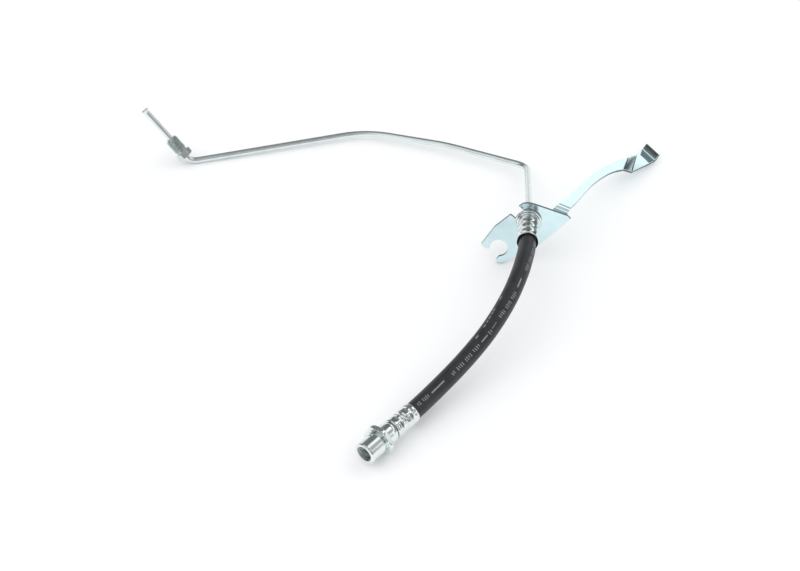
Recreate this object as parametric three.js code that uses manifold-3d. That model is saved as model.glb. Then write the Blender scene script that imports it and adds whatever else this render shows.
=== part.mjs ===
// A flexible brake line: a rubber hose with a crimped steel end at both sides, a pressed bracket that
// carries the upper end, and a formed steel pipe with a loose tube nut.
// Millimetres, +Z up. The line lies on the plane z = 0, with its origin under the middle of its steel work.
import * as THREE from 'three';
import { mergeVertices } from 'three/addons/utils/BufferGeometryUtils.js';
import Module from 'manifold-3d';

const wasm = await Module();
wasm.setup();

// Clearance between pieces that touch or slide
const clearance = 0.3;

// Hose
const hoseDiameter = 12;
const hoseBoreDiameter = 3.2;
const hoseSides = 12;

// Pipe
const pipeDiameter = 4.75;
const pipeWall = 0.7;
const pipeSides = 14;
const pipeBendStep = 14;
const flareDiameter = 6.5;
const flareLength = 2.6;
const flareShoulder = 0.9;

// Tube nut
const nutAcrossFlats = 11;
const nutHexLength = 5;
const nutThreadDiameter = 10;
const nutThreadLength = 13.2;
const nutNeckDiameter = 8.6;
const nutNeckLength = 1.4;
const nutChamfer = 0.8;

// Bracket plate
const sheet = 2;
const plateLean = 11.5;
const fittingSlotDiameter = 12;
const fittingSlotMouth = 8.6;
const cableSlotDiameter = 13.2;
const cableSlotX = -19.7;
const cableSlotY = -22.8;
const slotMouthAngle = 142;
const slotMouthReach = 12.75;
const plateCornerX = 29.4;
const plateCornerY = 3.9;
const plateShoulderX = 27;
const plateShoulderY = 6.2;
const plateCrownX = 5.2;
const plateCrownY = 13;
const plateHipX = -23.4;
const plateHipY = -6;
const plateWingX = -31.6;
const plateWingY = -19.6;
const plateToeX = 8.9;
const plateToeY = -18.3;

// Bracket arm: one strip, spot-welded behind the plate, with a round bend at its root
const armRootX = 16.4;
const armRootY = 10.1;
const armTurn = 20;
const armRise = 5.2;
const armLift = 2;
const armWidth = 11.1;
const armFootHeight = 5;
const armBendRadius = 6;
const armBendSteps = 7;
const padDrop = 2.7;
const lipLength = 5.8;
const lipLean = 76;
const lipBendRadius = 1.6;

// Back and front edge of the strip's flat part, by pairs, from the root's bend to the first bend of the step
const armEdges = [
  { back: [4.3, 9.6], front: [13, 9.6] },
  { back: [9, 20.5], front: [16.5, 18.6] },
  { back: [14.1, 31.3], front: [20.6, 30] },
  { back: [18.3, 42.3], front: [24.7, 41.5] },
  { back: [22, 51.8], front: [28.3, 50.8] },
  { back: [24.8, 58.8], front: [31.1, 57] },
  { back: [28.9, 67.5], front: [35.2, 65.5] },
  { back: [34.7, 78.6], front: [40.9, 75.6] },
  { back: [42.3, 90.8], front: [46, 82.8] },
  { back: [49.4, 101.4], front: [49.4, 86.6] },
  { back: [56.3, 109.5], front: [52.6, 89.8] },
];
const padStart = { back: [64.8, 124], front: [60.6, 96.2] };
const padEnd = { back: [69, 135.2], front: [79.4, 125.3] };
const lipBendSteps = 3;

// Turned ends
const flangeDiameter = 19;
const flangeThickness = 2.5;
const collarDiameter = 15;
const collarThickness = 3.5;
const noseDiameter = 8.5;
const noseLength = 7;
const throughBoreDiameter = 1.4;
const nippleDiameter = 2.6;
const nippleLength = 18;
const tailBossDiameter = 7.2;

// Threaded socket of the lower end
const socketBodyDiameter = 15;
const socketBodyLength = 13.3;
const socketThreadDiameter = 10;
const socketMouthDiameter = 11;
const socketDepth = 11.5;
const socketSeatDepth = 3;
const hexAcrossFlats = 19.8;
const hexThickness = 3.3;
const hexCornerDiameter = 21.8;
const hexRoll = 46.7;
const neckLength = 9.4;
const neckDiameter = 14.4;
const lugHeight = 1.5;
const lugLength = 3.4;
const lugSpan = 70;
const lugAngle = 30;

// Crimped sleeves
const mouthLip = 0.5;
const sleeveEndWall = 1.5;
const upperSleeveLength = 27.4;
const lowerSleeveLength = 19.2;
const upperMouthDiameter = 15.2;
const upperSleeveDiameter = 14.4;
const lowerSleeveDiameter = 14.4;
const crimpDepth = 0.4;
const dimpleDepth = 0.25;
const dimpleCount = 8;
const upperBandRoot = 9.7;
const upperBandMouth = 20.4;
const upperBandWidth = 7;
const lowerBandRoot = 4.6;
const lowerBandMouth = 12.4;
const lowerBandWidth = 6;

// Lower end: where its open face lies, and which way it points in plan
const tipX = -92.9;
const tipY = -205.7;
const lowerAxisHeight = hexCornerDiameter / 2;
const lowerHeading = 34.7;

// Corners of the pipe behind the bracket, each with its bend radius
const pipeFirstCorner = 18;
const pipeBackX = -2.5;
const pipeBackY = 98.2;
const pipeBackZ = 8;
const pipeNearX = -66.3;
const pipeNearY = 121.4;
const pipeNearZ = 6.5;
const pipeFarX = -130.6;
const pipeFarY = 134.1;
const pipeFarZ = 5.3;
const pipeEndX = -261;
const pipeEndY = 87.3;
const pipeBackRadius = 12;
const pipeNearRadius = 120;
const pipeFarRadius = 70;
const pipeEndRadius = 9;
const pipeTipRun = -33.6;
const pipeTipSide = 8.5;
const pipeTipZ = 42;
const pipeCorners = [
  { x: pipeBackX, y: pipeBackY, z: pipeBackZ, radius: pipeBackRadius },
  { x: pipeNearX, y: pipeNearY, z: pipeNearZ, radius: pipeNearRadius },
  { x: pipeFarX, y: pipeFarY, z: pipeFarZ, radius: pipeFarRadius },
  { x: pipeEndX, y: pipeEndY, z: pipeDiameter / 2, radius: pipeEndRadius },
];
const pipeFirstRadius = 60;
const pipeTip = { x: pipeEndX + pipeTipRun, y: pipeEndY + pipeTipSide, z: pipeTipZ };

const steelSides = 32;

const zinc = { color: 0xcfd9da, metalness: 0.9, roughness: 0.32 };
const brightZinc = { color: 0xdde3e3, metalness: 0.95, roughness: 0.25 };
const pipeCoat = { color: 0xaab3b3, metalness: 0.85, roughness: 0.35 };
const rubber = { color: 0x2b2c2e, metalness: 0, roughness: 0.6 };

const degrees = THREE.MathUtils.degToRad;

// A closed body: shared corners merged, no empty triangles, faces pointing out.
function closedBody(geometry) {
  const loose = geometry.clone();
  loose.deleteAttribute('normal');
  loose.deleteAttribute('uv');
  const merged = mergeVertices(loose, 1e-5);
  const index = merged.index.array;
  const position = merged.attributes.position;
  const kept = [];
  const a = new THREE.Vector3();
  const b = new THREE.Vector3();
  const c = new THREE.Vector3();
  let volume = 0;
  for (let i = 0; i < index.length; i += 3) {
    const corners = [index[i], index[i + 1], index[i + 2]];
    if (new Set(corners).size < 3) continue;
    a.fromBufferAttribute(position, corners[0]);
    b.fromBufferAttribute(position, corners[1]);
    c.fromBufferAttribute(position, corners[2]);
    volume += a.dot(b.cross(c));
    kept.push(...corners);
  }
  if (volume < 0) {
    for (let i = 0; i < kept.length; i += 3) {
      [kept[i + 1], kept[i + 2]] = [kept[i + 2], kept[i + 1]];
    }
  }
  merged.setIndex(kept);
  return merged;
}

function toManifold(geometry) {
  const body = closedBody(geometry);
  return new wasm.Manifold(new wasm.Mesh({
    numProp: 3,
    vertProperties: new Float32Array(body.attributes.position.array),
    triVerts: new Uint32Array(body.index.array),
  }));
}

function fromManifold(manifold) {
  const mesh = manifold.getMesh();
  const geometry = new THREE.BufferGeometry();
  geometry.setAttribute('position', new THREE.BufferAttribute(mesh.vertProperties, 3));
  geometry.setIndex(new THREE.BufferAttribute(mesh.triVerts, 1));
  return geometry;
}

function join(geometries) {
  return fromManifold(geometries.map(toManifold).reduce((whole, next) => whole.add(next)));
}

function cut(geometry, tools) {
  return fromManifold(tools.map(toManifold).reduce((left, tool) => left.subtract(tool), toManifold(geometry)));
}

function common(first, second) {
  return fromManifold(toManifold(first).intersect(toManifold(second)));
}

function piece(name, geometry, look) {
  const mesh = new THREE.Mesh(closedBody(geometry), new THREE.MeshStandardMaterial(look));
  mesh.name = name;
  return mesh;
}

// A turned body about +Z from its [radius, height] corners, closed on the axis or on itself.
function turned(corners, sides = steelSides) {
  const points = corners.map(([radius, height]) => new THREE.Vector2(radius, height));
  return new THREE.LatheGeometry(points, sides).rotateX(Math.PI / 2);
}

function hexPrism(acrossFlats, length) {
  const outline = new THREE.Shape();
  const corner = acrossFlats / 2 / Math.cos(Math.PI / 6);
  for (let i = 0; i < 6; i += 1) {
    const angle = (i * Math.PI) / 3;
    const x = corner * Math.cos(angle);
    const y = corner * Math.sin(angle);
    if (i === 0) outline.moveTo(x, y);
    else outline.lineTo(x, y);
  }
  outline.closePath();
  return new THREE.ExtrudeGeometry(outline, { depth: length, bevelEnabled: false });
}

function polygonRing(radius, sides) {
  const points = [];
  for (let i = 0; i < sides; i += 1) {
    const angle = (2 * Math.PI * i) / sides;
    points.push(new THREE.Vector2(radius * Math.cos(angle), radius * Math.sin(angle)));
  }
  return points;
}

// A centreline that is sampled only at its own stations, so that its straight stretches stay straight.
class StationLine extends THREE.Curve {
  constructor(points, directions) {
    super();
    this.points = points;
    this.directions = directions;
  }

  station(u) {
    return Math.round(u * (this.points.length - 1));
  }

  getPointAt(u) {
    return this.points[this.station(u)].clone();
  }

  getTangentAt(u) {
    return this.directions[this.station(u)].clone();
  }
}

function hollowTube(line, outerDiameter, innerDiameter, sides) {
  const section = new THREE.Shape(polygonRing(outerDiameter / 2, sides));
  section.holes.push(new THREE.Path(polygonRing(innerDiameter / 2, sides).reverse()));
  return new THREE.ExtrudeGeometry(section, { steps: line.points.length - 1, extrudePath: line });
}

// Straight stretches joined by round bends: stations and directions along the corners.
function bentLine(start, corners, end) {
  const points = [start.clone()];
  const directions = [];
  let from = start;
  let direction = null;
  corners.forEach((corner, i) => {
    const next = i + 1 < corners.length ? corners[i + 1].at : end;
    direction = corner.at.clone().sub(from).normalize();
    const after = next.clone().sub(corner.at).normalize();
    const turn = direction.angleTo(after);
    const tangent = corner.radius * Math.tan(turn / 2);
    const normal = after.clone().sub(direction.clone().multiplyScalar(after.dot(direction))).normalize();
    const bendStart = corner.at.clone().addScaledVector(direction, -tangent);
    const centre = bendStart.clone().addScaledVector(normal, corner.radius);
    const steps = Math.max(1, Math.ceil(turn / degrees(pipeBendStep)));
    if (directions.length === 0) directions.push(direction.clone());
    for (let k = 0; k <= steps; k += 1) {
      const angle = (turn * k) / steps;
      const spoke = normal.clone().multiplyScalar(-Math.cos(angle)).addScaledVector(direction, Math.sin(angle));
      points.push(centre.clone().addScaledVector(spoke, corner.radius));
      directions.push(
        direction.clone().multiplyScalar(Math.cos(angle)).addScaledVector(normal, Math.sin(angle)),
      );
    }
    from = points[points.length - 1];
  });
  directions.push(directions[directions.length - 1].clone());
  points.push(end.clone());
  return new StationLine(points, directions);
}

// A crimped sleeve along +Z from z = 0: closed wall with a hole at its root, open mouth, and crimp bands
// whose dimples are pressed in round the sleeve.
function crimpedSleeve({ length, diameter, mouthDiameter, bands }) {
  const inner = hoseDiameter / 2 + clearance;
  const hole = tailBossDiameter / 2 + clearance;
  const step = 1.5;
  const outside = (z) => {
    const flare = THREE.MathUtils.smoothstep(z, length - 4, length - 0.8);
    let radius = THREE.MathUtils.lerp(diameter, mouthDiameter, flare) / 2;
    for (const band of bands) {
      const reach = Math.abs(z - band.at) / (band.width / 2);
      if (reach < 1) radius -= crimpDepth * 0.5 * (1 + Math.cos(Math.PI * reach));
    }
    return radius;
  };
  const corners = [[hole, 0], [diameter / 2 - 0.8, 0]];
  const count = Math.round((length - 1.6) / step);
  for (let i = 0; i <= count; i += 1) {
    const z = 0.8 + ((length - 1.6) * i) / count;
    corners.push([outside(z), z]);
  }
  const lip = Math.max(mouthDiameter / 2 - mouthLip, inner + 0.2);
  corners.push([mouthDiameter / 2 - 0.2, length]);
  corners.push([lip, length]);
  corners.push([inner, length - 3 * (lip - inner)]);
  corners.push([inner, sleeveEndWall]);
  corners.push([hole, sleeveEndWall]);
  corners.push([hole, 0]);
  const sleeve = turned(corners, 32);
  const position = sleeve.attributes.position;
  for (let i = 0; i < position.count; i += 1) {
    const x = position.getX(i);
    const y = position.getY(i);
    const z = position.getZ(i);
    const radius = Math.hypot(x, y);
    if (radius < inner + 0.4) continue;
    let press = 0;
    for (const band of bands) {
      const reach = Math.abs(z - band.at) / (band.width / 2);
      const wave = 0.5 + 0.5 * Math.cos(dimpleCount * Math.atan2(y, x) + band.phase);
      if (reach < 1) press += dimpleDepth * wave * (0.5 + 0.5 * Math.cos(Math.PI * reach));
    }
    const scale = (radius - press) / radius;
    position.setXYZ(i, x * scale, y * scale, z);
  }
  return sleeve;
}

// The tail that the hose is pushed over: boss for the sleeve's hole, then the nipple. It starts at the
// shoulder at the given height. The corners run up the outside and end at the nipple's tip.
function tailCorners(shoulder) {
  const boss = tailBossDiameter / 2;
  const nipple = nippleDiameter / 2;
  const bossTop = shoulder + clearance + sleeveEndWall;
  return [
    [boss, shoulder],
    [boss, bossTop],
    [nipple, bossTop],
    [nipple, bossTop + nippleLength - 1],
    [nipple - 0.4, bossTop + nippleLength],
    [throughBoreDiameter / 2, bossTop + nippleLength],
  ];
}

// Plate frame: x along the floor, y up in the plate, z out of its front face towards the hose.
// The plate's lowest corner stands on the floor.
const lowestCorner = { x: -17.4, y: -34.9 };
const lean = degrees(plateLean);
const plateHeight = -lowestCorner.y * Math.cos(lean) + sheet * Math.sin(lean);
const plateAxis = new THREE.Vector3(0, -Math.cos(lean), Math.sin(lean));
const plateCentre = new THREE.Vector3(0, 0, plateHeight);
const onPlateAxis = (distance) => plateCentre.clone().addScaledVector(plateAxis, distance);

function makePlate() {
  const outline = new THREE.Shape();
  const slot = fittingSlotDiameter / 2;
  const half = fittingSlotMouth / 2;
  const mouthAngle = degrees(slotMouthAngle);
  const open = Math.asin(half / slot);
  const across = new THREE.Vector2(Math.cos(mouthAngle), Math.sin(mouthAngle));
  const side = new THREE.Vector2(-across.y, across.x);
  const hook = across.clone().multiplyScalar(slotMouthReach).addScaledVector(side, -half);
  const heel = across.clone().multiplyScalar(slotMouthReach).addScaledVector(side, half);
  outline.moveTo(plateCornerX, plateCornerY);
  outline.lineTo(plateShoulderX, plateShoulderY);
  outline.lineTo(plateCrownX, plateCrownY);
  outline.quadraticCurveTo(-1.5, 15.2, -5, 13.2);
  outline.lineTo(hook.x, hook.y);
  outline.absarc(0, 0, slot, mouthAngle - open, mouthAngle + open, true);
  outline.lineTo(heel.x, heel.y);
  outline.lineTo(plateHipX, plateHipY);
  outline.lineTo(plateWingX, plateWingY);
  outline.quadraticCurveTo(-32.6, -21.3, -31, -22.2);
  outline.lineTo(-28.4, -23.9);
  const cable = cableSlotDiameter / 2;
  outline.absarc(cableSlotX, cableSlotY, cable, degrees(188), degrees(-84), true);
  outline.lineTo(-20.6, -31.4);
  outline.quadraticCurveTo(-21.4, -33.4, -19.6, -34.3);
  outline.quadraticCurveTo(-18.6, -35, lowestCorner.x, lowestCorner.y);
  outline.lineTo(plateToeX, plateToeY);
  outline.closePath();
  return new THREE.ExtrudeGeometry(outline, {
    depth: sheet,
    bevelEnabled: false,
    curveSegments: 10,
  }).translate(0, 0, -sheet);
}

// Arm frame in the plate frame: x along the arm's root edge, y back along the strap, z out of its top.
function armFrame() {
  const turn = degrees(armTurn);
  const rise = degrees(armRise);
  const along = new THREE.Vector3(Math.cos(turn), -Math.sin(turn), 0);
  const up = new THREE.Vector3(Math.sin(turn), Math.cos(turn), 0);
  const out = new THREE.Vector3(0, 0, 1);
  const back = out.clone().multiplyScalar(-Math.cos(rise)).addScaledVector(up, Math.sin(rise));
  const top = up.clone().multiplyScalar(Math.cos(rise)).addScaledVector(out, Math.sin(rise));
  const origin = new THREE.Vector3(armRootX, armRootY, 0).addScaledVector(up, armLift);
  return new THREE.Matrix4().makeBasis(along, back, top).setPosition(origin);
}

// A strip of sheet through pairs of edge points: its first face is the one given, and the sheet lies
// behind it, square to the strip at every bend.
function sheetStrip(stations) {
  const a = new THREE.Vector3();
  const b = new THREE.Vector3();
  const faceNormals = stations.slice(0, -1).map((station, i) => {
    const next = stations[i + 1];
    a.subVectors(next.back, station.front);
    b.subVectors(next.front, station.back);
    return new THREE.Vector3().crossVectors(b, a).normalize();
  });
  const corners = stations.map((station, i) => {
    const before = faceNormals[Math.max(0, i - 1)];
    const after = faceNormals[Math.min(faceNormals.length - 1, i)];
    const through = before.clone().add(after).normalize();
    const depth = sheet / through.dot(after);
    return [
      station.front,
      station.back,
      station.back.clone().addScaledVector(through, -depth),
      station.front.clone().addScaledVector(through, -depth),
    ];
  });
  const positions = corners.flat().flatMap((point) => point.toArray());
  const index = [];
  for (let i = 0; i < corners.length - 1; i += 1) {
    for (let k = 0; k < 4; k += 1) {
      const here = 4 * i + k;
      const beside = 4 * i + ((k + 1) % 4);
      index.push(here, beside, beside + 4, here, beside + 4, here + 4);
    }
  }
  const last = 4 * (corners.length - 1);
  index.push(0, 2, 1, 0, 3, 2, last, last + 1, last + 2, last, last + 2, last + 3);
  const strip = new THREE.BufferGeometry();
  strip.setAttribute('position', new THREE.Float32BufferAttribute(positions, 3));
  strip.setIndex(index);
  return strip;
}

function makeArm() {
  const rise = degrees(armRise);
  const outerRadius = armBendRadius + sheet;
  const footFace = sheet + clearance;
  const bendBack = (footFace + outerRadius) / Math.cos(rise) - outerRadius * Math.tan(rise);
  const stations = [];
  const addPair = (backXY, frontXY, height) => stations.push({
    back: new THREE.Vector3(backXY[0], backXY[1], height),
    front: new THREE.Vector3(frontXY[0], frontXY[1], height),
  });
  const rootBend = Math.PI / 2 - rise;
  const first = armEdges[0];
  const footY = bendBack - outerRadius * Math.sin(rootBend);
  const footZ = outerRadius * (Math.cos(rootBend) - 1);
  const soleY = footY - armFootHeight * Math.sin(rise);
  const soleZ = footZ - armFootHeight * Math.cos(rise);
  addPair([0, soleY], [armWidth, soleY], soleZ);
  for (let i = 0; i <= armBendSteps; i += 1) {
    const angle = rootBend * (1 - i / armBendSteps);
    const y = bendBack - outerRadius * Math.sin(angle);
    const share = (y - footY) / (bendBack - footY);
    const backX = THREE.MathUtils.lerp(0, first.back[0], share);
    const frontX = THREE.MathUtils.lerp(armWidth, first.front[0], share);
    addPair([backX, y], [frontX, y], outerRadius * (Math.cos(angle) - 1));
  }
  armEdges.slice(1).forEach((pair) => addPair(pair.back, pair.front, 0));
  addPair(padStart.back, padStart.front, -padDrop);
  const backEnd = new THREE.Vector3(...padEnd.back, -padDrop);
  const frontEnd = new THREE.Vector3(...padEnd.front, -padDrop);
  const base = backEnd.clone().sub(frontEnd).normalize();
  const outward = new THREE.Vector3(base.y, -base.x, 0);
  const lift = degrees(lipLean);
  const setBack = lipBendRadius * Math.tan(lift / 2);
  const addLip = (out, height) => stations.push({
    back: backEnd.clone().addScaledVector(outward, out).setZ(height - padDrop),
    front: frontEnd.clone().addScaledVector(outward, out).setZ(height - padDrop),
  });
  for (let i = 0; i <= lipBendSteps; i += 1) {
    const angle = (lift * i) / lipBendSteps;
    addLip(lipBendRadius * Math.sin(angle) - setBack, lipBendRadius * (1 - Math.cos(angle)));
  }
  addLip(lipLength * Math.cos(lift), lipLength * Math.sin(lift));
  return sheetStrip(stations).applyMatrix4(armFrame());
}

function makeUpperEnd() {
  const bore = throughBoreDiameter / 2;
  const socket = pipeDiameter / 2 + clearance;
  const neck = fittingSlotDiameter / 2 - clearance;
  const flangeBack = clearance;
  const flangeFront = flangeBack + flangeThickness;
  const collarFront = -sheet - clearance;
  const collarBack = collarFront - collarThickness;
  const noseBack = collarBack - noseLength;
  return turned([
    [bore, collarBack],
    [socket, collarBack],
    [socket, noseBack],
    [noseDiameter / 2 - 0.4, noseBack],
    [noseDiameter / 2, noseBack + 0.6],
    [noseDiameter / 2, collarBack],
    [collarDiameter / 2 - 0.5, collarBack],
    [collarDiameter / 2, collarBack + 0.6],
    [collarDiameter / 2, collarFront],
    [neck, collarFront],
    [neck, flangeBack],
    [flangeDiameter / 2, flangeBack],
    [flangeDiameter / 2, flangeFront - 0.6],
    [flangeDiameter / 2 - 0.6, flangeFront],
    ...tailCorners(flangeFront),
    [bore, collarBack],
  ]);
}

function makeLowerEnd() {
  const bore = throughBoreDiameter / 2;
  const body = socketBodyDiameter / 2;
  const thread = socketThreadDiameter / 2;
  const mouth = socketMouthDiameter / 2;
  const hexBack = socketBodyLength + hexThickness;
  const shoulder = hexBack + neckLength;
  const neck = neckDiameter / 2;
  const core = turned([
    [bore, socketDepth + socketSeatDepth],
    [thread - 0.6, socketDepth],
    [thread, socketDepth - 0.6],
    [thread, mouth - thread],
    [mouth, 0],
    [body - 0.8, 0],
    [body, 0.8],
    [body, socketBodyLength - 1.4],
    [body - 0.7, socketBodyLength - 1],
    [body - 0.7, socketBodyLength + 0.2],
    [body + 1, socketBodyLength + 0.3],
    [body + 1, hexBack - 0.2],
    [neck, hexBack],
    [neck, hexBack + neckLength * 0.45],
    [neck - 0.4, hexBack + neckLength * 0.7],
    [neck - 1.2, hexBack + neckLength * 0.9],
    [neck - 2.2, shoulder],
    ...tailCorners(shoulder),
    [bore, socketDepth + socketSeatDepth],
  ]);
  const chamfer = (hexCornerDiameter - hexAcrossFlats) / 2;
  const hexFront = socketBodyLength;
  const rounded = turned([
    [body - 0.5, hexFront],
    [hexAcrossFlats / 2 - 0.2, hexFront],
    [hexCornerDiameter / 2, hexFront + chamfer * 0.6],
    [hexCornerDiameter / 2, hexBack - chamfer * 0.6],
    [hexAcrossFlats / 2 - 0.2, hexBack],
    [body - 0.5, hexBack],
    [body - 0.5, hexFront],
  ], 48);
  const hex = common(
    hexPrism(hexAcrossFlats, hexThickness + 2).rotateZ(degrees(hexRoll)).translate(0, 0, hexFront - 1),
    rounded,
  );
  const lugOutline = new THREE.Shape();
  const lugStart = degrees(lugAngle - lugSpan / 2);
  const lugEnd = degrees(lugAngle + lugSpan / 2);
  lugOutline.absarc(0, 0, body + lugHeight, lugStart, lugEnd, false);
  lugOutline.absarc(0, 0, body - 0.5, lugEnd, lugStart, true);
  lugOutline.closePath();
  const lug = new THREE.ExtrudeGeometry(lugOutline, {
    depth: lugLength,
    bevelEnabled: false,
    curveSegments: 8,
  }).translate(0, 0, socketBodyLength + 0.2 - lugLength);
  return join([core, hex, lug]);
}

function makeTubeNut() {
  const bore = pipeDiameter / 2 + clearance;
  const thread = nutThreadDiameter / 2;
  const neck = nutNeckDiameter / 2;
  const corner = nutAcrossFlats / 2 / Math.cos(Math.PI / 6);
  const flat = nutAcrossFlats / 2;
  const chamfered = turned([
    [0, 0],
    [flat - 0.1, 0],
    [corner, nutChamfer * 0.7],
    [corner, nutHexLength - nutChamfer * 0.7],
    [flat - 0.1, nutHexLength],
    [0, nutHexLength],
  ]);
  const hex = common(hexPrism(nutAcrossFlats, nutHexLength + 2).translate(0, 0, -1), chamfered);
  const total = nutHexLength + nutThreadLength;
  const shank = turned([
    [0, nutHexLength - 1],
    [neck, nutHexLength - 1],
    [neck, nutHexLength + nutNeckLength],
    [thread, nutHexLength + nutNeckLength + 0.5],
    [thread, total - nutChamfer],
    [thread - nutChamfer, total],
    [0, total],
  ]);
  const hole = turned([[0, -1], [bore, -1], [bore, total + 1], [0, total + 1]], 24);
  return cut(join([hex, shank]), [hole]);
}

// Pipe route, from the upper end's socket to the flared tip
const socketFloor = -sheet - clearance - collarThickness - clearance;
const pipeStart = onPlateAxis(socketFloor);
const tip = new THREE.Vector3(pipeTip.x, pipeTip.y, pipeTip.z);
const routeCorners = [
  { at: onPlateAxis(-pipeFirstCorner), radius: pipeFirstRadius },
  ...pipeCorners.map((c) => ({ at: new THREE.Vector3(c.x, c.y, c.z), radius: c.radius })),
];
const pipeLine = bentLine(pipeStart, routeCorners, tip);
const endDirection = pipeLine.directions[pipeLine.directions.length - 1];
const endStretchStart = pipeLine.points[pipeLine.points.length - 2];

function makePipe() {
  const bore = pipeDiameter / 2 - pipeWall;
  const outer = pipeDiameter / 2;
  const flare = flareDiameter / 2;
  const flareCorners = [
    [bore, -flareLength - 1],
    [outer - 0.05, -flareLength - 1],
    [outer - 0.05, -flareLength],
    [flare - 0.15, -flareShoulder],
    [flare, -flareShoulder + 0.4],
    [flare - 0.1, -0.2],
    [flare - 0.4, 0],
    [flare - 0.7, 0],
    [bore, -flareLength + flareShoulder],
    [bore, -flareLength - 1],
  ];
  const turnToEnd = new THREE.Quaternion().setFromUnitVectors(new THREE.Vector3(0, 0, 1), endDirection);
  const cone = turned(flareCorners, 28).applyQuaternion(turnToEnd).translate(tip.x, tip.y, tip.z);
  const tubeEnd = tip.clone().addScaledVector(endDirection, -flareLength + flareShoulder / 2 - 0.6);
  const points = pipeLine.points.slice(0, -1).concat([tubeEnd]);
  const tube = hollowTube(new StationLine(points, pipeLine.directions), pipeDiameter, 2 * bore, pipeSides);
  return join([tube, cone]);
}

// Lower end frame: its axis runs level from the open face towards the hose.
const heading = degrees(lowerHeading);
const lowerAxis = new THREE.Vector3(Math.sin(heading), Math.cos(heading), 0);
const lowerTip = new THREE.Vector3(tipX, tipY, lowerAxisHeight);
const lowerShoulder = socketBodyLength + hexThickness + neckLength;
const onLowerAxis = (distance) => lowerTip.clone().addScaledVector(lowerAxis, distance);

// Hose route: the free stretch between the sleeves' mouths, in the frame of the bracket's foot
const hoseRoute = [
  [-0.5, -40.2, 41.5],
  [-1.5, -48.2, 41.7],
  [-3.3, -59, 41.1],
  [-5.7, -69, 39.8],
  [-8.4, -78.1, 37.9],
  [-11.6, -86.5, 35.6],
  [-15.1, -94.3, 33.1],
  [-18.9, -101.7, 30.6],
  [-22.9, -108.6, 27.9],
  [-27.3, -115.4, 25.3],
  [-31.8, -121.8, 22.8],
  [-36.5, -128.1, 20.3],
  [-41.3, -134.4, 18.1],
  [-46.2, -140.6, 16],
  [-51.2, -147, 14.2],
  [-56.2, -153.5, 12.6],
  [-61.2, -160.2, 11.5],
];

function makeHose() {
  const upperEndFace = clearance + flangeThickness + clearance + sleeveEndWall + clearance;
  const upperMouth = clearance + flangeThickness + clearance + upperSleeveLength;
  const lowerEndFace = lowerShoulder + clearance + sleeveEndWall + clearance;
  const lowerMouth = lowerShoulder + clearance + lowerSleeveLength;
  const free = hoseRoute.map(([x, y, z]) => new THREE.Vector3(x, y, z));
  const points = [
    onPlateAxis(upperEndFace),
    onPlateAxis(upperMouth),
    ...free,
    onLowerAxis(lowerMouth),
    onLowerAxis(lowerEndFace),
  ];
  const last = points.length - 1;
  const directions = points.map((point, i) => {
    if (i <= 1) return plateAxis.clone();
    if (i >= last - 1) return lowerAxis.clone().negate();
    return points[i + 1].clone().sub(points[i - 1]).normalize();
  });
  return hollowTube(new StationLine(points, directions), hoseDiameter, hoseBoreDiameter, hoseSides);
}

// Assembly
const line = new THREE.Group();

const bracket = new THREE.Group();
bracket.position.copy(plateCentre);
bracket.rotation.x = Math.PI / 2 - lean;
bracket.add(piece('bracket_plate', makePlate(), zinc));
bracket.add(piece('bracket_arm', makeArm(), zinc));
bracket.add(piece('upper_end_fitting', makeUpperEnd(), brightZinc));
const upperSleeve = piece('upper_ferrule', crimpedSleeve({
  length: upperSleeveLength,
  diameter: upperSleeveDiameter,
  mouthDiameter: upperMouthDiameter,
  bands: [
    { at: upperBandRoot, width: upperBandWidth, phase: 0 },
    { at: upperBandMouth, width: upperBandWidth, phase: Math.PI },
  ],
}), brightZinc);
upperSleeve.position.z = clearance + flangeThickness + clearance;
bracket.add(upperSleeve);
line.add(bracket);

line.add(piece('brake_pipe', makePipe(), pipeCoat));

const nut = piece('tube_nut', makeTubeNut(), zinc);
nut.position.copy(endStretchStart).addScaledVector(endDirection, clearance);
nut.quaternion.setFromUnitVectors(new THREE.Vector3(0, 0, 1), endDirection);
line.add(nut);

line.add(piece('rubber_hose', makeHose(), rubber));

const lowerEnd = new THREE.Group();
lowerEnd.position.copy(lowerTip);
lowerEnd.quaternion.setFromRotationMatrix(new THREE.Matrix4().makeBasis(
  new THREE.Vector3(-lowerAxis.y, lowerAxis.x, 0),
  new THREE.Vector3(0, 0, 1),
  lowerAxis,
));
lowerEnd.add(piece('lower_end_fitting', makeLowerEnd(), brightZinc));
const lowerSleeve = piece('lower_ferrule', crimpedSleeve({
  length: lowerSleeveLength,
  diameter: lowerSleeveDiameter,
  mouthDiameter: lowerSleeveDiameter,
  bands: [
    { at: lowerBandRoot, width: lowerBandWidth, phase: 0 },
    { at: lowerBandMouth, width: lowerBandWidth, phase: Math.PI },
  ],
}), brightZinc);
lowerSleeve.position.z = lowerShoulder + clearance;
lowerEnd.add(lowerSleeve);
line.add(lowerEnd);

// The origin lies on the floor under the middle of the steel work that the hose is not part of.
const steelWork = new THREE.Box3();
line.updateMatrixWorld(true);
for (const name of ['bracket_plate', 'bracket_arm', 'upper_end_fitting', 'brake_pipe', 'tube_nut']) {
  steelWork.expandByObject(line.getObjectByName(name), true);
}
const middle = steelWork.getCenter(new THREE.Vector3());
line.position.set(-middle.x, -middle.y, -steelWork.min.z);

const group = new THREE.Group();
group.add(line);

export default group;
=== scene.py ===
import math

import bmesh
import bpy
from mathutils import Matrix, Vector


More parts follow.
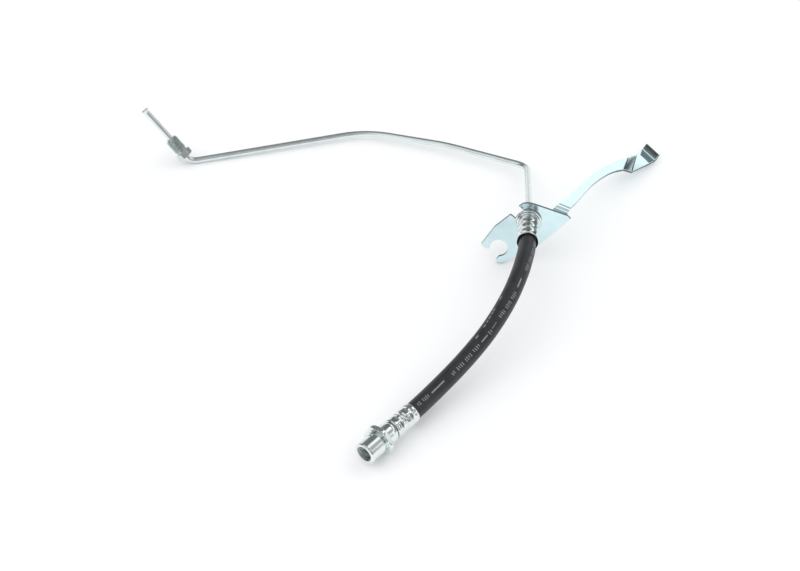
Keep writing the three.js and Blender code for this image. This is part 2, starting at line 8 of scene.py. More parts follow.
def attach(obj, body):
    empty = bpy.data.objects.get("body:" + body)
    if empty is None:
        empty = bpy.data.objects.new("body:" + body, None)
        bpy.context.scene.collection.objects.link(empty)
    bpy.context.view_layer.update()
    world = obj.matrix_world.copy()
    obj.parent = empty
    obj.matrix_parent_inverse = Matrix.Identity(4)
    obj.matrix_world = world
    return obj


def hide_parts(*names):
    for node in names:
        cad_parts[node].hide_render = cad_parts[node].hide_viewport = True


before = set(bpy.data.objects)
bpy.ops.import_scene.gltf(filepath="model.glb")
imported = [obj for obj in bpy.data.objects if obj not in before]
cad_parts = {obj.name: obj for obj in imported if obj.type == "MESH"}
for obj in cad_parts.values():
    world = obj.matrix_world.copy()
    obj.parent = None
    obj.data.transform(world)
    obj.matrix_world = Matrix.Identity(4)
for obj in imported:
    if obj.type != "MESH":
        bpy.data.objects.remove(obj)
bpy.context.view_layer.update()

MM = 0.001
TAU = 2 * math.pi
X_AXIS = Vector((1, 0, 0))
Z_AXIS = Vector((0, 0, 1))

# Sizes in millimetres and angles in radians. Places are seen from the bracket's foot, and SHIFT leads to
# that foot from the origin, which lies on the floor under the middle of the steel work.

SHIFT = Vector((99.118, -56.04, 0.012))
CLEARANCE = 0.3
SHEET = 2.0

LEAN = math.radians(11.5)
PLATE_REACH = 34.9
PLATE_CENTRE = Vector((0, 0, PLATE_REACH * math.cos(LEAN) + SHEET * math.sin(LEAN)))
PLATE_AXIS = Vector((0, -math.cos(LEAN), math.sin(LEAN)))

HOSE = 12.0
HOSE_IN_UPPER_SLEEVE = 4
HOSE_IN_LOWER_SLEEVE = 10
SLEEVE = 14.4
UPPER_MOUTH = 15.2
UPPER_SLEEVE = 27.4
LOWER_SLEEVE = 19.2
SLEEVE_END_WALL = 1.5
TAIL_BOSS = 7.2
FLANGE = 2.5
SLEEVE_START = CLEARANCE + FLANGE + CLEARANCE

HEADING = math.radians(34.7)
LOWER_AXIS = Vector((math.sin(HEADING), math.cos(HEADING), 0))
LOWER_TIP = Vector((-92.9, -205.7, 10.9))
SOCKET_BODY = 13.3
HEX_THICKNESS = 3.3
HEX_FLATS = 19.8
HEX_CORNERS = 21.8
HEX_ROLL = math.radians(46.7 + 30)
HEX_BORE = 7.0
NECK = 9.4
LOWER_SHOULDER = SOCKET_BODY + HEX_THICKNESS + NECK

THREAD_PITCH = 1.0
THREAD_DEPTH = 0.55

PIPE = 4.75
PIPE_WALL = 0.7
PIPE_TIP = Vector((-294.6, 95.8, 42))
COLLAR = 3.5
FLARE_LENGTH = 2.6
FLARE_OVERLAP = 0.3

NUT_FLATS = 11
NUT_CORNERS = 12.5
NUT_HEX = 5.0
NUT_HEX_BORE = 2.75
NUT_BORE = 2.68
NUT_NECK = 4.3
NUT_CREST = 4.95
NUT_TOTAL = NUT_HEX + 13.2

ARM_ROOT = Vector((16.4, 10.1, 0))
ARM_LIFT = 2
ARM_TURN = math.radians(20)
ARM_RISE = math.radians(5.2)
ARM_WIDTH = 11.1
ARM_FOOT = 5
ARM_BEND = 6 + SHEET
PAD_DROP = 2.7
LIP_LENGTH = 5.8
LIP_LEAN = math.radians(76)
LIP_BEND = 1.6


def metres(point):
    """A point seen from the bracket's foot, in millimetres, to metres from the origin."""
    return (point + SHIFT) * MM


def frame_matrix(origin, axis, across=None):
    """Millimetre frame with its z along the axis and its origin at a point seen from the bracket's foot."""
    z = axis.normalized()
    x = (across - z * across.dot(z)).normalized() if across else z.orthogonal().normalized()
    turn = Matrix((x, z.cross(x), z)).transposed().to_4x4()
    return Matrix.Translation(metres(origin)) @ turn @ Matrix.Scale(MM, 4)


PLATE = frame_matrix(PLATE_CENTRE, PLATE_AXIS, X_AXIS)
LOWER = frame_matrix(LOWER_TIP, LOWER_AXIS, Vector((-LOWER_AXIS.y, LOWER_AXIS.x, 0)))

# Camera

PAN = math.radians(5.5)
TILT = math.radians(42)
camera_data = bpy.data.cameras.new("camera")
camera = bpy.data.objects.new("camera", camera_data)
bpy.context.scene.collection.objects.link(camera)
bpy.context.scene.camera = camera
look = Vector((-math.sin(PAN) * math.cos(TILT), math.cos(PAN) * math.cos(TILT), -math.sin(TILT)))
camera.location = metres(Vector((-11.836, -816.655, 705)))
camera.rotation_euler = look.to_track_quat("-Z", "Y").to_euler()
camera_data.lens = 67.5
camera_data.sensor_width = 36
camera_data.clip_start = 0.05
camera_data.clip_end = 20

# Mesh helpers


def make_object(name, mesh, angle):
    """An object from a mesh, smooth except along edges that turn by more than the angle in degrees."""
    obj = bpy.data.objects.new(name, mesh)
    bpy.context.scene.collection.objects.link(obj)
    mesh.shade_smooth()
    limit = math.radians(angle)
    bm = bmesh.new()
    bm.from_mesh(mesh)
    bmesh.ops.recalc_face_normals(bm, faces=bm.faces)
    for edge in bm.edges:
        if len(edge.link_faces) == 2:
            edge.smooth = edge.calc_face_angle(0) < limit
    bm.to_mesh(mesh)
    bm.free()
    return obj


def grid_faces(rows, count, closed=False, base=0):
    """Faces between rows of count points each, every row a closed ring; open ends are capped."""
    faces = []
    for i in range(rows if closed else rows - 1):
        j = (i + 1) % rows
        for k in range(count):
            m = (k + 1) % count
            faces.append((i * count + k, i * count + m, j * count + m, j * count + k))
    if not closed:
        faces.append(tuple(reversed(range(count))))
        faces.append(tuple((rows - 1) * count + k for k in range(count)))
    return [tuple(base + v for v in face) for face in faces]


def grid_object(name, rings, closed, matrix, angle):
    """Rings of equal length joined into a closed surface; a matrix takes them to metres."""
    verts = [Vector(point) for ring in rings for point in ring]
    if matrix:
        verts = [matrix @ point for point in verts]
    mesh = bpy.data.meshes.new(name)
    mesh.from_pydata([tuple(point) for point in verts], [], grid_faces(len(rings), len(rings[0]), closed))
    return make_object(name, mesh, angle)


def polar(corners, a):
    """A profile of [radius, height] corners, turned to an angle."""
    return [(r * math.cos(a), r * math.sin(a), z) for r, z in corners]


def turned(name, corners, matrix, sides, shape=None, angle=35):
    """A turned body from a closed profile of [radius, height] corners, with an optional shape(r, z, a)."""
    rings = []
    for k in range(sides):
        a = TAU * k / sides
        rings.append(polar([(shape(r, z, a), z) for r, z in corners] if shape else corners, a))
    return grid_object(name, rings, closed=True, matrix=matrix, angle=angle)


def ease(start, corner, end, steps):
    """Points along a curve from start to end that bends towards the corner."""
    points = []
    for k in range(steps + 1):
        t = k / steps
        points.append(start * (1 - t) ** 2 + corner * 2 * t * (1 - t) + end * t * t)
    return points


def rounded(corners, radius, steps=4):
    """The same closed profile with its corners rounded where the sides are long enough."""
    straight = math.radians(165)
    share = 0.45
    result = []
    for i, corner in enumerate(corners):
        here = Vector(corner)
        a = Vector(corners[i - 1]) - here
        b = Vector(corners[(i + 1) % len(corners)]) - here
        if a.angle(b) > straight:
            result.append(tuple(here))
            continue
        reach = min(radius, a.length * share, b.length * share)
        curve = ease(here + a.normalized() * reach, here, here + b.normalized() * reach, steps)
        result += [tuple(point) for point in curve]
    return result


def stretch(radius, start, end, step):
    """Profile corners at one radius, about a step apart, between two heights."""
    count = round(abs(end - start) / step)
    return [(radius, start + (end - start) * i / count) for i in range(count + 1)]


def smoothstep(x, low, high):
    """0 below low, 1 above high, and a soft rise between them."""
    t = min(1.0, max(0.0, (x - low) / (high - low)))
    return t * t * (3 - 2 * t)


def padded(points):
    """The points with one more at each end, mirrored, for a curve through all of them."""
    return [points[0] * 2 - points[1], *points, points[-1] * 2 - points[-2]]


def spline(points, step):
    """Points along a smooth curve through the given ones (centripetal form), about a step apart."""
    result = [points[0].copy()]
    line = padded(points)
    for p0, p1, p2, p3 in zip(line, line[1:], line[2:], line[3:]):
        t0 = 0.0
        t1 = t0 + (p1 - p0).length ** 0.5
        t2 = t1 + (p2 - p1).length ** 0.5
        t3 = t2 + (p3 - p2).length ** 0.5
        count = max(1, round((p2 - p1).length / step))
        for k in range(1, count + 1):
            t = t1 + (t2 - t1) * k / count
            a1 = p0 * ((t1 - t) / (t1 - t0)) + p1 * ((t - t0) / (t1 - t0))
            a2 = p1 * ((t2 - t) / (t2 - t1)) + p2 * ((t - t1) / (t2 - t1))
            a3 = p2 * ((t3 - t) / (t3 - t2)) + p3 * ((t - t2) / (t3 - t2))
            b1 = a1 * ((t2 - t) / (t2 - t0)) + a2 * ((t - t0) / (t2 - t0))
            b2 = a2 * ((t3 - t) / (t3 - t1)) + a3 * ((t - t1) / (t3 - t1))
            result.append(b1 * ((t2 - t) / (t2 - t1)) + b2 * ((t - t1) / (t2 - t1)))
    return result


def line_frames(points, across):
    """Tangent, side and up directions at each point, carried along without twist."""
    frames = []
    side = across
    for i in range(len(points)):
        tangent = (points[min(len(points) - 1, i + 1)] - points[max(0, i - 1)]).normalized()
        side = (side - tangent * side.dot(tangent)).normalized()
        frames.append((tangent, side, tangent.cross(side)))
    return frames


def tube(name, points, radius, sides, across, wall=None):
    """A closed tube along points in metres; with a wall it is hollow."""
    frames = line_frames(points, across)

    def ring(i, r):
        _, side, up = frames[i]
        angles = [TAU * k / sides for k in range(sides)]
        return [points[i] + side * (r * math.cos(a)) + up * (r * math.sin(a)) for a in angles]

    rings = [ring(i, radius) for i in range(len(points))]
    if wall:
        rings += [ring(i, radius - wall) for i in reversed(range(len(points)))]
    return grid_object(name, rings, closed=bool(wall), matrix=None, angle=40)


def bent_line(start, corners, end):
    """Straight stretches joined by round bends, as points in millimetres."""
    bend_step = 0.7
    straight_step = 4
    points = [start.copy()]
    previous = start
    for i, (corner, radius) in enumerate(corners):
        following = corners[i + 1][0] if i + 1 < len(corners) else end
        direction = (corner - previous).normalized()
        after = (following - corner).normalized()
        turn = direction.angle(after)
        tangent = radius * math.tan(turn / 2)
        normal = (after - direction * after.dot(direction)).normalized()
        centre = corner - direction * tangent + normal * radius
        steps = max(2, math.ceil(radius * turn / bend_step))
        bend = []
        for k in range(steps + 1):
            a = turn * k / steps
            bend.append(centre + normal * (-radius * math.cos(a)) + direction * (radius * math.sin(a)))
        parts = max(1, int((bend[0] - points[-1]).length // straight_step))
        for k in range(1, parts):
            points.append(points[-1].lerp(bend[0], 1 / (parts - k + 1)))
        points.extend(bend)
        previous = bend[-1]
    points.append(end.copy())
    return points


# Materials


def put(tree, node, key, value):
    """Link a socket to a node's input, or set the input's own value."""
    if isinstance(value, bpy.types.NodeSocket):
        tree.links.new(value, node.inputs[key])
    else:
        node.inputs[key].default_value = value


def add_node(tree, kind, inputs=(), **settings):
    """A new node with its settings and inputs."""
    node = tree.nodes.new(kind)
    for key, value in settings.items():
        setattr(node, key, value)
    for key, value in dict(inputs).items():
        put(tree, node, key, value)
    return node


def add_ramp(tree, source, stops):
    """A colour ramp over a value, from stops of (position, colour)."""
    node = add_node(tree, "ShaderNodeValToRGB", {0: source})
    elements = node.color_ramp.elements
    while len(elements) < len(stops):
        elements.new(0.5)
    for element, (position, colour) in zip(elements, stops):
        element.position = position
        element.color = (*colour, 1)
    return node.outputs[0]


class Nodes:
    """A short way to write a material's nodes."""

    def __init__(self, name):
        self.material = bpy.data.materials.new(name)
        self.material.use_nodes = True
        self.tree = self.material.node_tree
        self.shader = self.tree.nodes["Principled BSDF"]

    def set(self, key, value):
        put(self.tree, self.shader, key, value)

    def ramp(self, source, dark, light, low=0.3, high=0.7):
        return add_ramp(self.tree, source, [(low, dark), (high, light)])

    def noise(self, scale, detail, rough):
        place = add_node(self.tree, "ShaderNodeTexCoord").outputs["Object"]
        inputs = {"Vector": place, "Scale": scale, "Detail": detail, "Roughness": rough}
        return add_node(self.tree, "ShaderNodeTexNoise", inputs).outputs["Fac"]

    def span(self, source, low, high):
        inputs = {"Value": source, "To Min": low, "To Max": high}
        return add_node(self.tree, "ShaderNodeMapRange", inputs).outputs[0]

    def bump(self, height, distance, strength):
        inputs = {"Height": height, "Distance": distance, "Strength": strength}
        self.set("Normal", add_node(self.tree, "ShaderNodeBump", inputs).outputs[0])


def plated(name, dark, light, rough, grain, bump=0.000006, blotch=140):
    """Zinc plate over steel: faint cloudy colour, satin grain, small changes of gloss."""
    n = Nodes(name)
    fine = n.noise(grain, 3, 0.6)
    n.set("Base Color", n.ramp(n.noise(blotch, 5, 0.6), dark, light))
    n.set("Metallic", 1.0)
    n.set("Roughness", n.span(fine, rough - 0.06, rough + 0.08))
    n.bump(fine, bump, 0.5)
    return n.material


def rubber_material():
    """Black rubber with a fine grain."""
    n = Nodes("hose_rubber")
    fine = n.noise(2600, 3, 0.6)
    n.set("Base Color", n.ramp(n.noise(160, 5, 0.6), (0.017, 0.018, 0.021), (0.030, 0.032, 0.036)))
    n.set("Roughness", n.span(fine, 0.38, 0.52))
    n.set("Specular IOR Level", 0.5)
    n.bump(fine, 0.00006, 0.6)
    return n.material


def print_material():
    """Worn pale ink."""
    n = Nodes("hose_print")
    n.set("Base Color", n.ramp(n.noise(2200, 4, 0.7), (0.09, 0.095, 0.10), (0.30, 0.32, 0.34), 0.34, 0.58))
    n.set("Roughness", 0.6)
    return n.material


def mouth_shade_material():
    """Painted shade for the inside of a sleeve's mouth."""
    n = Nodes("sleeve_mouth_painted_shade")
    n.set("Base Color", n.ramp(n.noise(900, 3, 0.5), (0.008, 0.009, 0.010), (0.02, 0.021, 0.023)))
    n.set("Roughness", 0.7)
    n.set("Specular IOR Level", 0.2)
    return n.material


sheet_colours = ((0.66, 0.85, 0.89), (0.74, 0.92, 0.95))
zinc_face = plated("zinc_sheet", *sheet_colours, rough=0.11, grain=700, bump=0.000004)
strap_face = plated("zinc_strap", *sheet_colours, rough=0.07, grain=700, bump=0.000001)
# Cut edges get a dark colour that stands in for the dark reflections along the sheet's edges (painted
# reflection)
painted_edge_colours = ((0.06, 0.09, 0.09), (0.13, 0.17, 0.17))
painted_dark_edge = plated("zinc_cut_edge_painted_reflection", *painted_edge_colours, rough=0.36, grain=1500, bump=0.00002)
bright = plated("bright_zinc", (0.74, 0.80, 0.79), (0.86, 0.91, 0.91), rough=0.13, grain=1400)
# Darker zinc that stands in for shade in the socket's thread and round the upper flange's rim and step
# (painted shade)
painted_shade_zinc = plated("painted_shade_zinc", (0.30, 0.34, 0.34), (0.46, 0.50, 0.50), rough=0.25, grain=1400)
nut_zinc = plated("nut_zinc", (0.66, 0.72, 0.72), (0.84, 0.89, 0.89), rough=0.2, grain=1300)
nut_thread_zinc = plated("nut_thread_zinc", (0.46, 0.51, 0.51), (0.64, 0.70, 0.70), rough=0.25, grain=1300)
pipe_coat = plated("pipe_coat", (0.74, 0.81, 0.81), (0.84, 0.90, 0.90), rough=0.24, grain=1100, blotch=90)
rubber = rubber_material()
ink = print_material()
# Near-black colour that stands in for the shade inside the sleeves' mouths (painted shade)
mouth_painted_shade = mouth_shade_material()


def finish_piece(obj, material, slot, *nodes, body="line"):
    """Give a piece its material, its body and the solids that it replaces; the slot is not used."""
    obj.data.materials.append(material)
    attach(obj, body)
    if nodes:
        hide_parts(*nodes)


def second_finish(obj, material, matrix, test):
    """Give a second material to the faces whose radius and height in a frame pass the test."""
    obj.data.materials.append(material)
    back = matrix.inverted()
    for face in obj.data.polygons:
        here = back @ face.center
        if test(math.hypot(here.x, here.y), here.z):
            face.material_index = len(obj.data.materials) - 1


# The hose, a free cord from the upper sleeve's mouth to its end in the lower sleeve

hose_route = [
    (-0.5, -40.2, 41.5),
    (-1.5, -48.2, 41.7),
    (-3.3, -59, 41.1),
    (-5.7, -69, 39.8),
    (-8.4, -78.1, 37.9),
    (-11.6, -86.5, 35.6),
    (-15.1, -94.3, 33.1),
    (-18.9, -101.7, 30.6),
    (-22.9, -108.6, 27.9),
    (-27.3, -115.4, 25.3),
    (-31.8, -121.8, 22.8),
    (-36.5, -128.1, 20.3),
    (-41.3, -134.4, 18.1),
    (-46.2, -140.6, 16),
    (-51.2, -147, 14.2),
    (-56.2, -153.5, 12.6),
    (-61.2, -160.2, 11.5),
]
exit_point = PLATE_CENTRE + PLATE_AXIS * (SLEEVE_START + UPPER_SLEEVE)
entry_point = LOWER_TIP + LOWER_AXIS * (LOWER_SHOULDER + CLEARANCE + LOWER_SLEEVE)
route = [exit_point, *map(Vector, hose_route), entry_point, entry_point - LOWER_AXIS * HOSE_IN_LOWER_SLEEVE]
hose_line = spline([metres(p) for p in route], 0.0012)
hose_root = metres(exit_point - PLATE_AXIS * HOSE_IN_UPPER_SLEEVE)
hose = tube("hose", [hose_root] + hose_line, HOSE / 2 * MM, sides=64, across=X_AXIS)
finish_piece(hose, rubber, "rubber", "rubber_hose")

hose_frames = line_frames(hose_line, X_AXIS)
hose_reach = [0.0]
for a, b in zip(hose_line, hose_line[1:]):
    hose_reach.append(hose_reach[-1] + (b - a).length)

# Crimped sleeves


def sleeve(name, length, mouth, bands, matrix):
    """A crimped sleeve; each band has its place, width, groove depth, dent depth and phase."""
    inner = HOSE / 2 + 0.05
    hole = TAIL_BOSS / 2 + 0.1
    edge = 0.8
    dents = 8
    corners = [(hole, 0)]
    for inset, z in [(1.0, 0), (0.7, 0.05), (0.35, 0.25), (0.1, 0.55)]:
        corners.append((SLEEVE / 2 - inset, z))
    for _, z in stretch(0, edge, length - edge, 0.3):
        flare = smoothstep(z, length - 4, length - edge)
        corners.append(((SLEEVE + (mouth - SLEEVE) * flare) / 2, z))
    for inset, depth in [(0.03, 0.4), (0.12, 0.1), (0.25, 0), (0.4, 0.1)]:
        corners.append((mouth / 2 - inset, length - depth))
    corners += [(inner + 0.75, length - edge), (inner + 0.3, length - 2.2), (inner, length - 3.5)]
    corners += [(inner, SLEEVE_END_WALL), (hole, SLEEVE_END_WALL)]

    def press(r, z, a):
        if r < inner + 0.4:
            return r
        depth = 0
        for at, width, groove, dent, phase in bands:
            band = 0.5 + 0.5 * math.cos(math.pi * min(1.0, abs(z - at) / (width / 2)))
            dimple = 0.5 + 0.5 * math.cos(dents * a + phase)
            depth += band * (groove + dent * dimple)
        return r - depth

    return turned(name, corners, matrix, sides=160, shape=press, angle=50)


def finish_sleeve(obj, node, length, matrix, rim, throat):
    """Bright outside, with painted shade in the mouth, inside the rim's radius and further in the throat's.
    """
    finish_piece(obj, bright, "bright_zinc", node)
    mouth_start = length - 0.9
    # The mouth and throat faces take the near-black colour, as painted shade inside the sleeve
    second_finish(obj, mouth_painted_shade, matrix,
                  lambda radius, z: (radius < rim and z > mouth_start) or (radius < throat and z > 2))


upper_place = PLATE @ Matrix.Translation((0, 0, SLEEVE_START))
upper_bands = [(7.4, 6.4, 0.62, 0.12, 0), (14.6, 6.4, 0.62, 0.12, math.pi), (22.3, 6.4, 0.62, 0.12, 0)]
upper_sleeve = sleeve("upper_sleeve", UPPER_SLEEVE, UPPER_MOUTH, upper_bands, upper_place)
finish_sleeve(upper_sleeve, "upper_ferrule", UPPER_SLEEVE, upper_place, rim=7.28, throat=6.5)

lower_place = LOWER @ Matrix.Translation((0, 0, LOWER_SHOULDER + CLEARANCE))
lower_bands = [
    (3.6, 4.0, 0, 0.45, 0), (6.4, 3.6, 0, 0.35, math.pi), (9.4, 4.4, 0.72, 0, 0),
    (12.8, 4.0, 0, 0.45, 0), (15.6, 3.6, 0, 0.35, math.pi),
]
lower_sleeve = sleeve("lower_sleeve", LOWER_SLEEVE, SLEEVE, lower_bands, lower_place)
finish_sleeve(lower_sleeve, "lower_ferrule", LOWER_SLEEVE, lower_place, rim=6.8, throat=6.3)

# Upper end fitting, from its nose behind the plate to the nipple in the hose; the flange's rim and the
# foot of its step carry painted shade

upper_profile = rounded([
    (0.7, -5.8), (2.5, -5.8), (2.5, -12.8), (3.9, -12.8), (4.25, -12.3), (4.25, -5.9),
    (7.0, -5.8), (7.5, -5.2), (7.5, -2.3), (5.7, -2.3), (5.7, 0.3), (9.5, 0.3), (9.5, 1.5),
    (9.2, 1.75), (8.4, 1.8), (8.2, 2.0), (8.1, 2.6), (7.8, 2.8), (3.6, 2.8), (3.6, 4.6), (1.3, 4.6),
    (1.3, 22), (0.7, 22),
], 0.35)
upper_end = turned("upper_end", upper_profile, PLATE, sides=96)
finish_piece(upper_end, bright, "bright_zinc", "upper_end_fitting")
# The flange's rim and the step's foot take the darker zinc, as painted shade
second_finish(upper_end, painted_shade_zinc, PLATE,
              lambda radius, z: radius > 9.3 or (8.1 < radius < 8.5 and 1.8 < z < 2.4))

# Lower end fitting, with painted shade on the thread in its socket


def thread_wave(z, a, low, high):
    """Depth of a screw thread's groove at a height and angle, faded at both ends."""
    fade = 0.8
    phase = (z / THREAD_PITCH - a / TAU) % 1
    groove = max(0.0, min(1.0, 1.3 * abs(phase - 0.5) * 2 - 0.15))
    return THREAD_DEPTH * groove * smoothstep(z, low, low + fade) * (1 - smoothstep(z, high - fade, high))


lower_profile = [
    (0.7, 14.5), (4.2, 11.7), *stretch(5.0, 11.0, 0.6, 0.16),
    (5.4, 0.12), (5.6, 0), (6.5, 0), (6.9, 0.1), (7.2, 0.35), (7.4, 0.65), (7.5, 1.0),
    (7.5, 1.25), (7.5, 6), (7.5, 11.5), (7.5, 11.7), (7.4, 11.95), (6.85, 12.25), (6.8, 12.5), (6.8, 13.0),
    (6.8, 13.6), (8.5, 13.6), (8.5, 16.4), (7.4, 16.55), (7.2, 16.75), (7.2, 18), (7.2, 20.6), (7.2, 22.3),
    (7.1, 23.5), (6.85, 24.5), (6.45, 25.3), (5.9, 26.0), (3.6, 26.0), (3.6, 27.8), (1.3, 27.8),
    (1.3, 44), (0.7, 44),
]


def socket_thread(r, z, a):
    """Cut the socket's inner thread."""
    if 4.9 < r < 5.1 and 0.3 < z < 11.1:
        return r + 0.45 - thread_wave(z, a, 0.4, 10.8)
    return r


lower_end = turned("lower_end", lower_profile, LOWER, sides=128, shape=socket_thread, angle=40)
finish_piece(lower_end, bright, "bright_zinc", "lower_end_fitting")
# The socket's bore and thread take the darker zinc, as painted shade inside the socket
second_finish(lower_end, painted_shade_zinc, LOWER, lambda radius, z: radius < 5.56 and z > 0.1)


def hex_ring(name, across_flats, corner, roll, low, high, inner, matrix, sides):
    """A hexagon with rounded corner chamfers and a round hole."""
    chamfer = ((corner - across_flats) / 2 + 0.5) * 0.5
    shares = (0, 0.25, 0.5, 0.75, 1)
    profile = [(t, low + chamfer * t * t) for t in shares]
    profile += [(t, high - chamfer * t * t) for t in reversed(shares)]
    step = TAU / 6
    rings = []
    for k in range(sides):
        a = TAU * k / sides
        flat = across_flats / 2 / math.cos((a - roll + step / 2) % step - step / 2)
        hexagon = min(corner / 2, flat)
        ring = []
        for t, z in profile:
            limit = across_flats / 2 - 0.35 + (corner / 2 - across_flats / 2 + 0.4) * t
            ring.append((min(hexagon, limit), z))
        rings.append(polar(ring + [(inner, high), (inner, low)], a))
    return grid_object(name, rings, closed=True, matrix=matrix, angle=28)


lower_hex = hex_ring(
    "lower_hex", HEX_FLATS, HEX_CORNERS, roll=HEX_ROLL, low=SOCKET_BODY, high=SOCKET_BODY + HEX_THICKNESS,
    inner=HEX_BORE, matrix=LOWER, sides=144)
finish_piece(lower_hex, bright, "bright_zinc")

# The lug beside the hexagon, over an arc from a start angle and over a span in degrees
LUG_START = -5
LUG_SPAN = 70
LUG_STEPS = 24
lug_section = rounded([(7.2, 10.1), (9.0, 10.1), (9.0, 13.45), (7.2, 13.45)], 0.3, 3)
lug_rings = []
for i in range(LUG_STEPS + 1):
    lug_rings.append(polar(lug_section, math.radians(LUG_START + LUG_SPAN * i / LUG_STEPS)))
lower_lug = grid_object("lower_lug", lug_rings, closed=False, matrix=LOWER, angle=40)
finish_piece(lower_lug, bright, "bright_zinc")

# The pipe: its corners with their bend radii

pipe_corners = [
    (PLATE_CENTRE - PLATE_AXIS * 18, 60),
    (Vector((-2.5, 98.2, 8)), 12),
    (Vector((-66.3, 121.4, 6.5)), 120),
    (Vector((-130.6, 134.1, 5.3)), 70),
    (Vector((-261, 87.3, PIPE / 2)), 9),
]
pipe_root = PLATE_CENTRE + PLATE_AXIS * (-SHEET - CLEARANCE - COLLAR - CLEARANCE)
pipe_points = bent_line(pipe_root, pipe_corners, PIPE_TIP)
stretch_start = pipe_points[-2]
end_direction = (pipe_points[-1] - stretch_start).normalized()
pipe_points[-1] = PIPE_TIP - end_direction * (FLARE_LENGTH - FLARE_OVERLAP)
pipe_line = [metres(p) for p in pipe_points]
pipe = tube("pipe", pipe_line, PIPE / 2 * MM, sides=48, across=Z_AXIS, wall=PIPE_WALL * MM)
finish_piece(pipe, pipe_coat, "pipe_coat", "brake_pipe")

PIPE_END = frame_matrix(PIPE_TIP, end_direction)
flare_profile = rounded([
    (1.675, -3.4), (2.36, -3.4), (2.4, -2.5), (3.1, -0.95), (3.25, -0.5), (3.2, -0.15), (2.95, 0),
    (2.55, 0), (1.675, -1.5),
], 0.2)
flare = turned("pipe_flare", flare_profile, PIPE_END, sides=64)
finish_piece(flare, pipe_coat, "pipe_coat")

# The tube nut

nut_across = Z_AXIS.rotation_difference(end_direction) @ X_AXIS
NUT = frame_matrix(stretch_start + end_direction * CLEARANCE, end_direction, nut_across)
nut_hex = hex_ring(
    "nut_hex", NUT_FLATS, NUT_CORNERS, roll=0, low=0, high=NUT_HEX, inner=NUT_HEX_BORE, matrix=NUT, sides=120)
finish_piece(nut_hex, nut_zinc, "nut_zinc", "tube_nut", body="nut")

thread_profile = [
    (NUT_BORE, NUT_HEX - 0.3), (NUT_NECK, NUT_HEX - 0.3), (NUT_NECK, NUT_HEX + 1.2),
    *stretch(NUT_CREST, NUT_HEX + 1.9, NUT_TOTAL - 0.9, 0.14),
    (NUT_NECK, NUT_TOTAL - 0.1), (4.15, NUT_TOTAL), (2.9, NUT_TOTAL), (NUT_BORE, NUT_TOTAL - 0.3),
]


def nut_thread(r, z, a):
    """Cut the nut's outer thread."""
    if r > NUT_CREST - 0.05:
        return r - thread_wave(z, a, NUT_HEX + 1.8, NUT_TOTAL - 0.3)
    return r


nut_shank = turned("nut_shank", thread_profile, NUT, sides=96, shape=nut_thread, angle=40)
finish_piece(nut_shank, nut_thread_zinc, "nut_zinc", body="nut")
second_finish(nut_shank, bright, NUT, lambda radius, z: z > NUT_TOTAL - 0.95)

# Bracket plate


def sheet_copy(name, node, bevel):
    """A copy of a sheet solid's own shape with softened edges."""
    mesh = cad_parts[node].data.copy()
    mesh.name = name
    bm = bmesh.new()
    bm.from_mesh(mesh)
    bmesh.ops.remove_doubles(bm, verts=bm.verts, dist=1e-6)
    bmesh.ops.dissolve_limit(bm, angle_limit=math.radians(0.5), verts=bm.verts, edges=bm.edges)
    sharp = [e for e in bm.edges if len(e.link_faces) == 2 and e.calc_face_angle(0) > math.radians(40)]
    bmesh.ops.bevel(
        bm, geom=sharp, offset=bevel, segments=2, profile=0.5, affect="EDGES", clamp_overlap=True)
    bm.to_mesh(mesh)
    bm.free()
    mesh.materials.clear()
    return make_object(name, mesh, 14)


# Faces that look along the plate's axis are sheet, and the others are cut edges, darkened with a painted dark
# reflection
plate = sheet_copy("plate", "bracket_plate", bevel=0.00022)
finish_piece(plate, zinc_face, "zinc_sheet", "bracket_plate")
# The plate's cut edges take the dark colour, a painted reflection
plate.data.materials.append(painted_dark_edge)
for face in plate.data.polygons:
    face.material_index = 0 if abs(face.normal.dot(PLATE_AXIS)) > 0.7 else 1

# Bracket arm, one folded strip of sheet: foot, root bend, long strap, ramp, pad and lip

arm_along = Vector((math.cos(ARM_TURN), -math.sin(ARM_TURN), 0))
arm_up = Vector((math.sin(ARM_TURN), math.cos(ARM_TURN), 0))
arm_back = Vector((0, 0, -math.cos(ARM_RISE))) + arm_up * math.sin(ARM_RISE)
arm_top = arm_up * math.cos(ARM_RISE) + Vector((0, 0, math.sin(ARM_RISE)))
arm_place = Matrix((arm_along, arm_back, arm_top)).transposed().to_4x4()
arm_place.translation = ARM_ROOT + arm_up * ARM_LIFT
ARM = PLATE @ arm_place

# Back and front edge of the strap's flat part, by pairs
arm_edges = [
    ((4.3, 9.6), (13, 9.6)), ((9, 20.5), (16.5, 18.6)), ((14.1, 31.3), (20.6, 30)),
    ((18.3, 42.3), (24.7, 41.5)), ((22, 51.8), (28.3, 50.8)), ((24.8, 58.8), (31.1, 57)),
    ((28.9, 67.5), (35.2, 65.5)), ((34.7, 78.6), (40.9, 75.6)), ((42.3, 90.8), (46, 82.8)),
    ((49.4, 101.4), (49.4, 86.6)), ((56.3, 109.5), (52.6, 89.8)),
]
pad_start = (Vector((64.8, 124, -PAD_DROP)), Vector((60.6, 96.2, -PAD_DROP)))
pad_end = (Vector((69, 135.2, -PAD_DROP)), Vector((79.4, 125.3, -PAD_DROP)))


def through(points):
    """A smooth line through points, with the same number of steps in every span."""
    steps = 5
    line = padded(points)
    result = []
    for p0, p1, p2, p3 in zip(line, line[1:], line[2:], line[3:]):
        for k in range(steps):
            t = k / steps
            result.append(0.5 * (p1 * 2 + (p2 - p0) * t + (p0 * 2 - p1 * 5 + p2 * 4 - p3) * t * t
                                 + (p1 * 3 - p0 - p2 * 3 + p3) * t * t * t))
    result.append(points[-1].copy())
    return result


def fold(before, corner, after):
    """A fold's corner, eased over a short reach on both sides."""
    reach = 1.1
    start = corner + (before - corner).normalized() * reach
    end = corner + (after - corner).normalized() * reach
    return ease(start, corner, end, 5)


